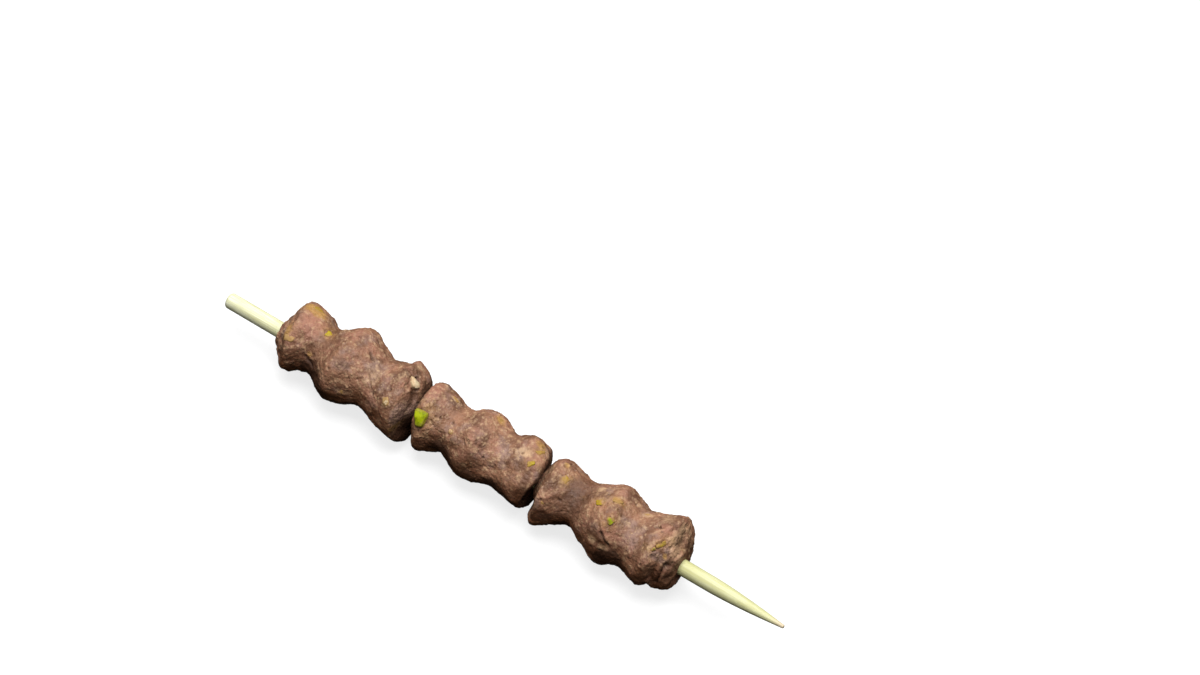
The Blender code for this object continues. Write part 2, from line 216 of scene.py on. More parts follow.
# Each piece of meat: its name, the solid that it stands for, its outline, its forms and how far it sags
MEAT_PIECES = (
    ("meat_at_the_handle", "kibbeh_handle_end", HANDLE_OUTLINE, HANDLE_FORMS, 0.7 * MM),
    ("meat_in_the_middle", "kibbeh_middle", MIDDLE_OUTLINE, MIDDLE_FORMS, 1.3 * MM),
    ("meat_at_the_point", "kibbeh_point_end", POINT_OUTLINE, POINT_FORMS, 0.6 * MM),
)

# Chips of nut and herb by kind, in mm and degrees: which piece of meat, place along the stick, angle round it,
# length, width, thickness, turn on the surface, share that is buried, how open the groove round it is, and cut
CHIPS = {
    "pistachio_chips": (
        (1, -26.4, 128, 4.7, 5.7, 2.8, 0, 0.60, 1, "leaf"),
        (2, 41, 112, 3.2, 2.7, 1.6, 60, 0.78, 0.2, "lump"),
        (2, 57, 117, 1.8, 1.3, 1, 50, 0.84, 0.3, "lump"),
        (0, -60.5, 226, 3.2, 2.3, 1.5, 50, 0.66, 0.7, "lump"),
        (2, 31.5, 238, 3.2, 2.3, 1.5, 45, 0.66, 0.7, "lump"),
        (1, 2.5, 318, 3, 2.2, 1.5, 65, 0.66, 0.7, "lump"),
    ),
    "golden_chips": (
        (0, -65.4, 75, 2.9, 2.6, 1.4, 15, 0.72, 0.5, "lump"),
        (0, -72.6, 50, 4.6, 2.6, 1.3, 10, 0.80, 0, "lump"),
        (1, 10.5, 71, 3.4, 2, 1.5, 70, 0.77, 0.2, "lump"),
        (1, 10.7, 100, 2.6, 2, 1.4, 30, 0.74, 0.5, "lump"),
        (1, -6.1, 51, 2.6, 1.8, 1.2, 30, 0.80, 0, "lump"),
        (2, 21.5, 86, 2.9, 2.5, 1.6, 80, 0.77, 0.1, "lump"),
        (2, 34.9, 98, 2.8, 2.4, 1.6, 30, 0.77, 0.3, "lump"),
        (2, 39.3, 82, 3.6, 2.2, 1.2, 10, 0.85, 0, "lump"),
        (2, 58.1, 105, 4.6, 1.7, 1.5, 54, 0.76, 0.2, "lump"),
        (0, -42.5, 345, 3, 2.2, 1.5, 110, 0.70, 0.5, "lump"),
        (1, -14, 232, 3.4, 2.4, 1.6, 20, 0.70, 0.5, "lump"),
        (2, 53.5, 338, 3.1, 2.2, 1.5, 120, 0.70, 0.5, "lump"),
    ),
    "pale_nut_chips": (
        (0, -34.2, 73, 4.4, 3.4, 2.4, 0, 0.56, 0.8, "wedge"),
        (0, -37.6, 131, 3.4, 2.7, 1.5, 120, 0.78, 0, "lump"),
        (0, -73.8, 126, 3.6, 2.3, 1.3, 10, 0.80, 0, "lump"),
        (0, -52.2, 162, 1.7, 1.2, 1, 60, 0.86, 0, "lump"),
        (1, -16.5, 122, 2.1, 1.9, 1.3, 0, 0.77, 0, "lump"),
        (1, -21.6, 54, 2.8, 1.6, 1.1, 160, 0.82, 0, "lump"),
        (2, 19.9, 143, 2.2, 1.7, 1.2, 90, 0.88, 0, "lump"),
        (2, 48.1, 60, 2.2, 1.4, 1.2, 20, 0.80, 0.2, "lump"),
        (0, -69.5, 300, 2.8, 2.2, 1.4, 80, 0.72, 0.5, "lump"),
        (1, -25.5, 282, 2.6, 2, 1.4, 130, 0.72, 0.5, "lump"),
        (2, 43, 292, 2.8, 2.1, 1.4, 15, 0.72, 0.5, "lump"),
    ),
}

# Flat cuts of a shaped chip: the way that each faces, in degrees on the surface and up from it, and how far
# out it is. A lump has seeded cuts.
CUTS = {
    "leaf": (
        (95, 4, 0.84), (0, 6, 0.78), (286, 5, 0.88), (217, 8, 0.60), (197, 6, 0.84), (0, 90, 0.9),
        (0, -90, 0.9), (120, 58, 0.76), (250, 56, 0.70), (350, 55, 0.76), (35, 62, 0.84),
    ),
    "wedge": (
        (105, 5, 0.78), (31, 6, 1.02), (329, 6, 0.74), (289, 6, 0.74), (229, 6, 0.66), (207, 6, 0.72),
        (0, 90, 0.9), (0, -90, 0.9), (70, 56, 0.74), (205, 58, 0.76), (320, 60, 0.8),
    ),
}

# Cuts and cracks in the meat, in mm and degrees: which piece, place and angle of both ends, half width, depth.
# Those of negative depth are ridges.
GROOVES = (
    (0, -47.2, 108, -45.6, 118, 0.26, 0.34),
    (0, -45.6, 118, -44.6, 127, 0.24, 0.26),
    (0, -50.6, 76, -49.2, 82, 0.50, 0.50),
    (0, -43.3, 133, -42.9, 136, 0.32, 0.42),
    (0, -33.4, 78, -32.2, 92, 0.75, 0.90),
    (0, -67.8, 150, -64.4, 160, 0.55, 0.40),
    (1, -28.2, 122, -28.4, 134, 0.34, 0.60),
    (1, -23.2, 121, -22.2, 127, 0.26, 0.34),
    (1, -11, 121, -10.2, 126, 0.22, 0.40),
    (1, -9.4, 117, -9, 123, 0.20, 0.34),
    (2, 53, 85, 54.6, 83, 0.30, 0.60),
    (2, 40.4, 134, 43.4, 149, 0.42, 0.60),
    (2, 39.2, 123, 42.8, 142, 0.42, -0.45),
    (2, 57.6, 112, 57.2, 120, 0.42, 0.36),
    (2, 58.4, 48, 59.4, 88, 1.00, -0.40),
    (2, 61, 62, 61.4, 84, 0.80, 0.30),
    (2, 62.3, 118, 61.7, 134, 0.60, 0.50),
    (2, 61.9, 128, 61.2, 150, 0.55, 0.90),
    (2, 61.2, 150, 60.6, 172, 0.60, 1.00),
    (2, 60.6, 172, 59.6, 190, 0.60, 0.80),
)

# Patches of other colour by kind, in mm and degrees: which piece, place, angle, spread along, spread round,
# strength
PATCHES = {
    "ochre": (
        (0, -73.2, 54, 2.8, 1.8, 1.2), (0, -75.6, 118, 1.2, 2.2, 0.7), (0, -66.9, 140, 0.7, 0.7, 0.9),
        (0, -33.1, 172, 1.2, 1.6, 0.7), (1, 9, 59, 1.6, 1.6, 0.7), (1, -6.1, 51, 1.3, 1.3, 0.8),
        (2, 19.1, 62, 1.1, 1.1, 0.6), (2, 28.8, 101, 1, 0.9, 0.7), (2, 39.3, 82, 1.5, 1, 0.7),
        (2, 62.4, 70, 1, 1.4, 0.4), (2, 60.6, 116, 0.7, 0.8, 0.7), (2, 35.1, 182, 1, 1, 0.6),
        (0, -45, 250, 1.5, 1.5, 0.8), (1, -20, 200, 1.4, 1.4, 0.7), (2, 25, 330, 1.6, 1.4, 0.8),
    ),
    "rosy": (
        (1, -27.4, 66, 1.6, 4, 1), (2, 56.2, 84, 2.2, 2.2, 0.6), (2, 41, 132, 1.7, 1.1, 0.9),
        (0, -57, 60, 3, 3.2, 0.5), (0, -71, 84, 3, 4, 0.8), (2, 62, 92, 1.3, 4, 0.8),
        (0, -60, 290, 3, 3, 0.6), (1, -5, 250, 3, 3, 0.6), (2, 48, 220, 3, 3, 0.6),
    ),
    "lilac": (
        (0, -32.4, 138, 1.6, 3.6, 1.2), (0, -56.9, 104, 1.2, 1.6, 0.5), (0, -49.1, 98, 1.7, 1, 0.7),
        (1, 1.6, 105, 1.6, 1.8, 0.9), (1, 2.5, 128, 1.4, 1.2, 0.9), (2, 58.6, 124, 1.4, 1.2, 1),
        (2, 25, 95, 2.6, 2.6, 0.7), (2, 49, 121, 2.8, 2.6, 0.7), (2, 60.2, 105, 0.9, 1.1, 0.8),
        (0, -50, 320, 2.4, 2.4, 0.8), (1, 0, 210, 2.4, 2.4, 0.8), (2, 36, 280, 2.4, 2.4, 0.8),
    ),
    "pale": (
        (1, 6.9, 88, 1.9, 1.6, 0.8), (2, 15.4, 112, 0.8, 3.4, 0.6), (2, 32.4, 70, 1.2, 1.2, 0.8),
        (2, 38.3, 151, 1.3, 1.1, 0.9), (2, 42.3, 157, 1.2, 1.1, 0.9), (2, 48.3, 62, 1.4, 1, 0.8),
        (2, 54, 60, 2.6, 3, 0.5), (2, 55.8, 119, 0.8, 1, 0.8), (2, 61.6, 90, 1.6, 4, 0.6),
        (2, 59.6, 82, 1, 2.4, 0.6), (2, 60.2, 60, 1.1, 3, 0.6), (2, 15.6, 76, 1, 2.2, 0.6),
        (0, -52.2, 162, 1.6, 0.8, 0.7), (0, -46.6, 108, 3.4, 4.4, 0.4), (0, -58, 152, 3.6, 1.8, 0.4),
        (1, -7.9, 159, 0.6, 0.6, 0.8), (0, -36.5, 44, 1.2, 1.4, 0.5), (1, -21.6, 54, 1.5, 0.9, 0.8),
        (0, -63, 260, 1.6, 1.2, 0.8), (1, -10, 300, 1.6, 1.4, 0.8), (2, 56, 255, 1.5, 1.3, 0.8),
    ),
    # Darker patches: partly the meat's own darker tone, partly painted shade on end faces beside the gaps, under
    # the waists and in a waist
    "deep": (
        (0, -35.8, 116, 1.3, 3.2, 0.4), (0, -33.2, 96, 1.3, 2.4, 0.8), (0, -66, 160, 3, 3, 0.6),
        (2, 27, 110, 3.4, 8, 1.1), (1, 11.6, 150, 0.9, 6, 1.2), (2, 62.9, 150, 0.8, 3.2, 0.8),
        (0, -65, 110, 2.4, 6, 0.5), (0, -55.8, 119, 2.4, 2.4, 0.45), (2, 23, 128, 2.4, 3, 0.7),
        (2, 38.5, 152, 3.2, 3, 0.9), (1, 11.4, 130, 0.8, 5, 0.6), (2, 60.4, 72, 0.5, 1.6, 0.5),
        (0, -66, 340, 2.4, 2.8, 0.6), (1, -18, 250, 2.4, 2.8, 0.6), (2, 47, 330, 2.4, 2.8, 0.6),
    ),
    # Painted shadow: near-black contact shade under the waists and bellies, in the gaps between pieces and on
    # the undersides
    "shade": (
        (0, -64.6, 178, 3.2, 3, 1.5), (0, -62.6, 194, 3.6, 5, 1.7), (1, -17, 184, 3.6, 2.6, 1.3),
        (2, 27.4, 202, 4.2, 2, 1.1), (2, 44.5, 180, 3.6, 3, 1.4), (2, 26.8, 114, 3.6, 6.6, 0.46),
        (0, -31.8, 196, 1, 4, 1), (0, -46.2, 200, 4.2, 2, 1), (1, 3, 186, 4.4, 2.2, 1.2),
        (0, -65, 250, 3, 7, 0.8), (1, -18, 260, 3, 6, 0.8), (2, 27.4, 265, 3.4, 6, 0.8),
        (2, 46.6, 262, 3.2, 6, 0.8), (0, -46.2, 262, 3.2, 6, 0.8), (1, -0.4, 262, 3, 6, 0.8),
    ),
}

CHIP_ROWS = 18
CHIP_COLUMNS = 26
CHIP_PLANES = 9
CHIP_HARDNESS = 22
LUMP_ROUGHNESS = 0.14
CUT_ROUGHNESS = 0.07
CHIP_DEPTH = 3 * MM
CLEAR_OF_STICK = 6 * MM

STICK_COLUMNS = 72
CAP_RINGS = 8
TURN_RINGS = 14
TAPER_RINGS = 60
RUN_STEP = 1 * MM
TAPER_LENGTH = 26 * MM
TAPER_POWER = 1.55
POINT_RADIUS = 0.6 * MM
BLUNT_ROUNDING = 1.1 * MM
POINT_ROUNDING = 0.35 * MM
# Fibres are noises of these heights, sizes and seeds, many times as long as wide
FIBRES = ((0.010, 0.5 * MM, 51), (0.014, 1.6 * MM, 52))
FIBRE_STRETCH = 30
SAW_MARK_HEIGHT = 0.10 * MM
SAW_MARK_SIZE = 0.35 * MM
SOAKED_LENGTH = 10 * MM
SOAKED_HANDLE_LENGTH = 6 * MM
DULL_LENGTH = 6 * MM

WHITE = (1, 1, 1, 1)
KEY_PLACE = (-0.06, 0.22, 1.16)
KEY_SIZE = 0.9
FLOOR_CLOUD = (0.25, 0.25, 0.25)
FLOOR_GLOW = 0.76

# The photograph's view of the stick
CAMERA_TURN = math.radians(34.6)
CAMERA_RISE = math.radians(58)
CAMERA_DISTANCE = 4
SENSOR_WIDTH = 36
FRAME_WIDTH = 354.7 * MM
FRAME_OFFSET = (28.35 * MM, 36.8 * MM)

LATTICE_PRIMES = (73856093, 19349663, 83492791)
HASH_MASK = 0xFFFFFFFF


def tint(red, green, blue):
    """A screen colour of 0 to 255 as a linear colour."""
    return tuple(
        c / 12.92 if c <= 0.04045 else ((c + 0.055) / 1.055) ** 2.4
        for c in (part / 255 for part in (red, green, blue))
    )


def smooth_step(low, high, value):
    """0 at low, 1 at high, and smooth between: three times the share's square less twice its cube."""
    share = np.clip((value - low) / (high - low), 0, 1)
    return share * share * (3 - 2 * share)


def stacked(*parts):
    """Points or directions from their three parts."""
    return np.stack(np.broadcast_arrays(*parts), -1)


def away_from(angle, degrees):
    """The angle's difference from one in degrees, taken the short way round."""
    return (angle - math.radians(degrees) + math.pi) % FULL_TURN - math.pi


def scrambled(cell, seed):
    """A well-mixed whole number for each lattice corner."""
    mixed = np.full(cell.shape[:-1], seed * 2654435761 & HASH_MASK, np.uint64)
    for axis, prime in enumerate(LATTICE_PRIMES):
        mixed ^= (cell[..., axis] * prime).astype(np.uint64) & np.uint64(HASH_MASK)
    for shift in (15, 13):
        mixed = (mixed ^ (mixed >> np.uint64(shift))) * np.uint64(2246822519)
        mixed &= np.uint64(HASH_MASK)
    return mixed ^ (mixed >> np.uint64(16))


def lattice_noise(points, size, seed):
    """Smooth noise from about -1 to 1: a random slope at each corner of a cubic lattice, blended between."""
    scaled = points / size
    cell = np.floor(scaled).astype(np.int64)
    part = scaled - cell
    fade = part**3 * (part * (part * 6 - 15) + 10)
    total = np.zeros(points.shape[:-1])
    for corner in itertools.product((0, 1), repeat=3):
        corner = np.array(corner)
        mixed = scrambled(cell + corner, seed)
        turn = (mixed & np.uint64(0xFFFF)).astype(float) / 0xFFFF * FULL_TURN
        rise = (mixed >> np.uint64(16)).astype(float) / 0xFFFF * 2 - 1
        flat = np.sqrt(1 - rise * rise)
        slope = np.stack((flat * np.cos(turn), flat * np.sin(turn), rise), -1)
        weight = np.prod(np.where(corner == 1, fade, 1 - fade), -1)
        total += weight * np.sum(slope * (part - corner), -1)
    return total * 1.6


def grain_noise(points, size, seed):
    """Distance to the nearest of one random point in each lattice cell, in cells, and that point's number."""
    scaled = points / size
    cell = np.floor(scaled).astype(np.int64)
    part = scaled - cell
    nearest = np.full(points.shape[:-1], 9)
    number = np.zeros(points.shape[:-1])
    for step in itertools.product((-1, 0, 1), repeat=3):
        step = np.array(step)
        mixed = scrambled(cell + step, seed)
        spot = np.stack([(mixed >> np.uint64(n)) & np.uint64(0x3FF) for n in (0, 10, 20)], -1) / 0x3FF
        away = np.linalg.norm(spot + step - part, axis=-1)
        closer = away < nearest
        nearest = np.where(closer, away, nearest)
        own = ((mixed * np.uint64(40503)) >> np.uint64(9) & np.uint64(0xFFFF)) / 0xFFFF
        number = np.where(closer, own, number)
    return nearest, number


def smooth_outline(rows, count):
    """Catmull-Rom curve through the rows, with count points spaced evenly along the line that it draws."""
    knots = np.array(rows) * MM
    knots = np.vstack((2 * knots[0] - knots[1], knots, 2 * knots[-1] - knots[-2]))
    share = np.linspace(0, 1, FINE_STEPS, endpoint=False)[:, None]
    spans = [
        start
        + 0.5 * share * (end - before)
        + share**2 * (before - 2.5 * start + 2 * end - 0.5 * after)
        + share**3 * (1.5 * (start - end) + 0.5 * (after - before))
        for before, start, end, after in zip(knots, knots[1:], knots[2:], knots[3:])
    ]
    curve = np.vstack((*spans, knots[-2:-1]))
    steps = np.linalg.norm(np.diff(curve[:, :2], axis=0), axis=1)
    length = np.concatenate(([0.0], np.cumsum(steps)))
    even = np.linspace(0, length[-1], count)
    return np.stack([np.interp(even, length, column) for column in curve.T], -1)


def grid_normals(points):
    """Outward directions of a grid of rings: the step round the ring crossed with that along the stick."""
    around = np.roll(points, -1, 1) - np.roll(points, 1, 1)
    along = np.gradient(points, axis=0)
    normal = np.cross(around, along)
    return normal / np.maximum(np.linalg.norm(normal, axis=-1, keepdims=True), 1e-12)


def shaped_mesh(name, points, ends):
    """A mesh of rings. ends is "joined" where the last ring meets the first, and "poles" where both close."""
    rows, columns = points.shape[:2]
    index = np.arange(rows * columns).reshape(rows, columns)
    following = np.roll(index, -1, 0) if ends == "joined" else index[1:]
    here = index if ends == "joined" else index[:-1]
    quads = np.stack((here, np.roll(here, -1, 1), np.roll(following, -1, 1), following), -1).reshape(-1, 4)
    vertices = points.reshape(-1, 3)
    faces = quads.tolist()
    if ends == "poles":
        start, end = len(vertices), len(vertices) + 1
        vertices = np.vstack((vertices, points[0].mean(0), points[-1].mean(0)))
        after = np.roll(index, -1, 1)
        faces += [(start, a, b) for a, b in zip(after[0].tolist(), index[0].tolist())]
        faces += [(end, a, b) for a, b in zip(index[-1].tolist(), after[-1].tolist())]
    mesh = bpy.data.meshes.new(name)
    mesh.from_pydata(vertices.tolist(), [], faces)
    mesh.update()
    mesh.shade_smooth()
    return mesh


def store(mesh, name, values):
    """Keeps a value for each point, for a material to read."""
    mesh.attributes.new(name, "FLOAT", "POINT").data.foreach_set("value", np.ravel(values).astype(np.float32))


def show(name, mesh, material, replaced=()):
    """Puts a finished mesh in the scene, moving with the skewer."""
    if not len(mesh.polygons):
        raise RuntimeError(f"{name} has no faces")
    mesh.materials.append(material)
    piece = bpy.data.objects.new(name, mesh)
    bpy.context.scene.collection.objects.link(piece)
    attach(piece, BODY)
    for node in replaced:
        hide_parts(node)
    return piece


def meat_form(rows, forms, sag, rings, columns):
    """The kneaded form: rings along the outline, moved outwards by lumps of noise and by a bell curve for each
    knob or dent, then leant, shifted, pressed flat and sagging onto the floor. Returns the rings' points and
    how far each ring is from the stick."""
    outline = smooth_outline(rows, rings)
    along, radius, shift, far_lean, front_lean = (outline[:, n, None] for n in range(5))
    angle = np.arange(columns)[None, :] * (FULL_TURN / columns)
    slope = np.gradient(outline[:, :2], axis=0)
    slope /= np.linalg.norm(slope, axis=1)[:, None]
    out_along, out_radius = -slope[:, 1, None], slope[:, 0, None]
    grip = smooth_step(CAD_BORE, CAD_BORE + GRIP_DEPTH, radius)

    base = stacked(along, radius * np.cos(angle), radius * np.sin(angle))
    relief = sum(
        height * lattice_noise(base, size, LUMP_SEED + n)
        for n, (size, height) in enumerate(zip(LUMP_SIZES, LUMP_HEIGHTS))
    )
    for place, degrees, height, spread_along, spread_round in forms:
        away = away_from(angle, degrees)
        reach = ((along - place * MM) / (spread_along * MM)) ** 2 + (radius * away / (spread_round * MM)) ** 2
        relief = relief + height * MM * np.exp(-reach / 2)
    face = np.abs(out_along)
    relief = (relief - np.maximum(relief, 0) * smooth_step(0.6, 0.95, face)) * grip

    lean = far_lean * np.cos(angle - FAR_SIDE)
    lean = lean + front_lean * np.maximum(np.cos(angle - FRONT_SIDE), 0)
    x = along + grip * lean + relief * out_along
    hold = (CAD_BORE - BORE_RADIUS) * (1 - smooth_step(CAD_BORE, CAD_BORE + 0.6 * MM, radius))
    reach = radius - hold + relief * out_radius
    y = reach * np.cos(angle) + grip * shift * math.cos(FAR_SIDE)
    z = reach * np.sin(angle) + grip * shift * math.sin(FAR_SIDE)
    z = z * (1 - grip * (1 - PRESSED_HEIGHT))
    z = z - grip * sag * np.maximum(-np.sin(angle), 0) ** 2
    return np.stack((x, y + STICK_SIDE, z + STICK_HEIGHT), -1), radius


class Seat:
    """Where a chip lies on the meat: its middle, and the directions of its length, width and outside."""

    def __init__(self, points, normals, chip):
        _, place, degrees, length, width, thickness, turn, sunk, _, _ = chip
        column = round(degrees / 360 * points.shape[1]) % points.shape[1]
        line = points[:, column]
        off_axis = np.hypot(line[:, 1] - STICK_SIDE, line[:, 2] - STICK_HEIGHT)
        row = int(np.argmin(np.abs(line[:, 0] - place * MM) + np.where(off_axis < CLEAR_OF_STICK, 1, 0)))
        rows = slice(max(row - 3, 0), row + 4)
        near = np.arange(column - 3, column + 4) % points.shape[1]
        self.out = normals[rows][:, near].mean((0, 1))
        self.out /= np.linalg.norm(self.out)
        side = np.cross(self.out, (1, 0, 0))
        side /= np.linalg.norm(side)
        ahead = np.cross(side, self.out)
        angle = math.radians(turn)
        self.long = ahead * math.cos(angle) + side * math.sin(angle)
        self.wide = -ahead * math.sin(angle) + side * math.cos(angle)
        self.size = np.array((length, width, thickness)) * MM / 2
        self.middle = points[row, column] - self.out * (sunk - 0.5) * thickness * MM

    def reach(self, points):
        """Distance from the chip's middle as a share of its half size, in the plane of the surface."""
        away = points - self.middle
        flat = np.hypot(away @ self.long / self.size[0], away @ self.wide / self.size[1])
        return flat + np.where(np.abs(away @ self.out) > CHIP_DEPTH, 9, 0)


def patch_reach(along, angle, radius, patch):
    """Distance from a patch's middle in its own spreads, over the unrolled surface."""
    _, place, degrees, spread_along, spread_round, _ = patch
    away = away_from(angle, degrees)
    return np.hypot((along - place * MM) / (spread_along * MM), radius * away / (spread_round * MM))


def groove_reach(along, angle, radius, groove):
    """Distance from a line between two places in half widths, over the unrolled surface."""
    _, start, start_degrees, end, end_degrees, half_width, _ = groove
    u = along - start * MM
    v = away_from(angle, start_degrees) * radius
    step_u, step_v = (end - start) * MM, math.radians(end_degrees - start_degrees) * radius
    share = np.clip((u * step_u + v * step_v) / (step_u**2 + step_v**2), 0, 1)
    return np.hypot(u - share * step_u, v - share * step_v) / (half_width * MM)


def meat_piece(number, settings):
    """The fine surface of one piece: its form, then kneaded texture, bulgur grains, pits, creases and the hollow
    that each chip sits in, all moved along the form's outward direction. Returns the points and what the
    material reads: how strong each kind of patch, grain, hollow and stain is, and how far a place faces down."""
    _, _, rows, forms, sag = MEAT_PIECES[number]
    form, radius = meat_form(rows, forms, sag, settings.rings, settings.columns)
    normals = grid_normals(form)
    bound = smooth_step(BORE_RADIUS, CAD_BORE + 1.2 * MM, radius)
    along = form[..., 0]
    angle = np.arange(settings.columns)[None, :] * (FULL_TURN / settings.columns)
    facing = np.abs(normals[..., 0])
    # How far a place faces down; the material uses it for painted shade on the undersides, and the texture is
    # smoother there
    below = np.clip((1 - normals[..., 2] - 0.6 * normals[..., 0] ** 2) / 1.5, 0, 1)

    looks = {"below": below}
    for kind, patches in PATCHES.items():
        looks[kind] = np.zeros(along.shape)
        for patch in patches:
            if patch[0] == number:
                reach = patch_reach(along, angle, radius, patch)
                looks[kind] = np.maximum(looks[kind], patch[-1] * np.exp(-reach * reach / 2))

    texture = sum(share * lattice_noise(form, size, seed) for share, size, seed in TEXTURE)
    away, number_of_grain = grain_noise(form, GRAIN_SIZE, 31)
    grain = smooth_step(0.46, 0.12, away) * smooth_step(0.52, 0.6, number_of_grain + 0.3 * looks["pale"])
    away, number_of_pit = grain_noise(form, PIT_SIZE, 32)
    ragged = away + 0.16 * lattice_noise(form, 0.9 * MM, 33)
    pit = smooth_step(0.26, 0.06, ragged) * smooth_step(0.72, 0.76, number_of_pit)
    line = np.abs(lattice_noise(form, CREASE_SIZE, 34) + 0.12 * lattice_noise(form, 1.1 * MM, 35))
    creased = lattice_noise(form, CREASED_AREA_SIZE, 36)
    crease = smooth_step(0.055, 0, line) * smooth_step(0.05, 0.45, creased)

    height = settings.texture_height * (1 - SMOOTHER_BELOW * below) * texture
    height = height + settings.grain_height * grain
    height = height - settings.pit_depth * pit - settings.crease_depth * crease
    # hollow: painted shade in pits, creases and grooves, round the chips and on end faces between pieces
    hollow = np.maximum(0.7 * pit, 0.7 * crease)
    wander = 0.6 * lattice_noise(form, 1.3 * MM, 37)
    for groove in GROOVES:
        if groove[0] == number:
            half_width, depth = groove[-2:]
            reach = groove_reach(along, angle, radius, groove) + wander
            cut = np.exp(-np.maximum(reach, 0) ** 2)
            height = height - depth * MM * cut
            hollow = np.maximum(hollow, smooth_step(0.1, 0.5, depth) * cut * min(1, 0.5 / half_width))

    stain = np.zeros(along.shape)
    for kind, chips in CHIPS.items():
        for chip in chips:
            if chip[0] == number:
                reach = Seat(form, normals, chip).reach(form)
                openness = chip[8]
                groove = openness * np.exp(-(((reach - 1) / 0.16) ** 2))
                rim = openness * np.exp(-(((reach - 1.42) / 0.26) ** 2))
                kept = 1 - openness * smooth_step(1.3, 0.6, reach)
                height = height * kept + CHIP_RIM_HEIGHT * rim - CHIP_GROOVE_DEPTH * groove
                hollow = np.maximum(hollow * kept, 0.7 * groove)
                if kind != "pale_nut_chips":
                    stain = np.maximum(stain, np.exp(-((reach / 1.7) ** 2)))

    free = (along < FREE_ENDS[0]) | (along > FREE_ENDS[1])
    coarse = END_ROUGHNESS * lattice_noise(form, END_ROUGHNESS_SIZE, 38) * smooth_step(0.45, 0.8, facing)
    room = FACING_ROOM + SIDE_ROOM * smooth_step(0.95, 0.55, facing)
    height = np.where(free, height + coarse, np.minimum(height, room)) * bound
    # Painted shade on the end faces that face the next piece, less where the lilac patch is
    shaded = 0.9 * smooth_step(0.72, 0.92, facing) * (1 - 0.8 * np.minimum(looks["lilac"], 1))
    hollow = np.maximum(hollow, np.where(free, 0, shaded))
    points = form + normals * height[..., None]
    points[..., 2] = np.maximum(points[..., 2], 0)
    # cavity: painted shade in the low places of the kneaded texture
    cavity = np.clip(0.5 - 1.5 * texture, 0, 1)
    return points, looks | {"grain": grain, "hollow": hollow, "stain": stain, "cavity": cavity}


def bore_rings(points):
    """Rings of the hole's wall, from the last ring of the outer surface back to its first."""
    share = np.linspace(0, 1, BORE_RINGS + 2)[1:-1, None, None]
    return points[-1] * (1 - share) + points[0] * share


def cut_ball(seed, cut):
    """A ball cut by planes: in each direction the reach is set by the planes that face it, blended by a high
    power so that the edges are a little round. The planes are the cut's own, or else seeded ones and those of a
    cube. Returns a grid of points with poles along Z."""
    tilt = np.linspace(0, math.pi, CHIP_ROWS + 2)[1:-1, None]
    turn = np.arange(CHIP_COLUMNS)[None, :] * (FULL_TURN / CHIP_COLUMNS)
    ring = np.sin(tilt)
    way = stacked(ring * np.cos(turn), ring * np.sin(turn), np.cos(tilt))
    if cut in CUTS:
        flat, rise, offset = np.array(CUTS[cut]).T
        flat, rise = np.radians(flat), np.radians(rise)
        planes = np.stack((np.cos(flat) * np.cos(rise), np.sin(flat) * np.cos(rise), np.sin(rise)), -1)
    else:
        random = np.random.default_rng(seed)
        planes = random.normal(size=(CHIP_PLANES, 3))
        planes /= np.linalg.norm(planes, axis=1)[:, None]
        planes = np.vstack((planes, np.eye(3), -np.eye(3)))
        offset = random.uniform(0.72, 1, len(planes))
    facing = np.maximum(np.einsum("rck,pk->rcp", way, planes), 0) / offset
    reach = np.sum(facing**CHIP_HARDNESS, -1) ** (-1 / CHIP_HARDNESS)
    return way * np.minimum(reach, 1.3)[..., None]


def chip_points(seat, seed, cut, sunk):
    """One chip on its seat: a cut ball with a little grain of its own, stretched to the chip's size. Returns its
    points, and how near each of them is to where the meat closes over it."""
    ball = cut_ball(seed, cut)[:, ::-1]
    rough = CUT_ROUGHNESS if cut in CUTS else LUMP_ROUGHNESS
    ball = ball * (1 + rough * lattice_noise(ball + seed, 0.6, 41))[..., None]
    local = ball * seat.size
    points = seat.middle + local[..., :1] * seat.long + local[..., 1:2] * seat.wide
    points = points + local[..., 2:] * seat.out
    level = 2 * sunk - 1
    uneven = ball[..., 2] + 0.10 * lattice_noise(ball + seed, 0.3, 42)
    return points, smooth_step(level + 0.45, level + 0.05, uneven)


def joined(parts):
    """One mesh from several meshes of (vertices, faces)."""
    vertices, faces, start = [], [], 0
    for part_vertices, part_faces in parts:
        vertices.append(part_vertices)
        faces.append(part_faces + start)
        start += len(part_vertices)
    return np.vstack(vertices), np.vstack(faces)


def closed_ball_faces(rows, columns):
    """Triangles of a grid of rings whose ends close on two poles, which are the last two vertices."""
    index = np.arange(rows * columns).reshape(rows, columns)
    after = np.roll(index, -1, 1)
    lower = np.stack((index[:-1], after[:-1], after[1:]), -1).reshape(-1, 3)
    upper = np.stack((index[:-1], after[1:], index[1:]), -1).reshape(-1, 3)
    start = np.stack((np.full(columns, rows * columns), after[0], index[0]), -1)
    end = np.stack((np.full(columns, rows * columns + 1), index[-1], after[-1]), -1)
    return np.vstack((lower, upper, start, end))


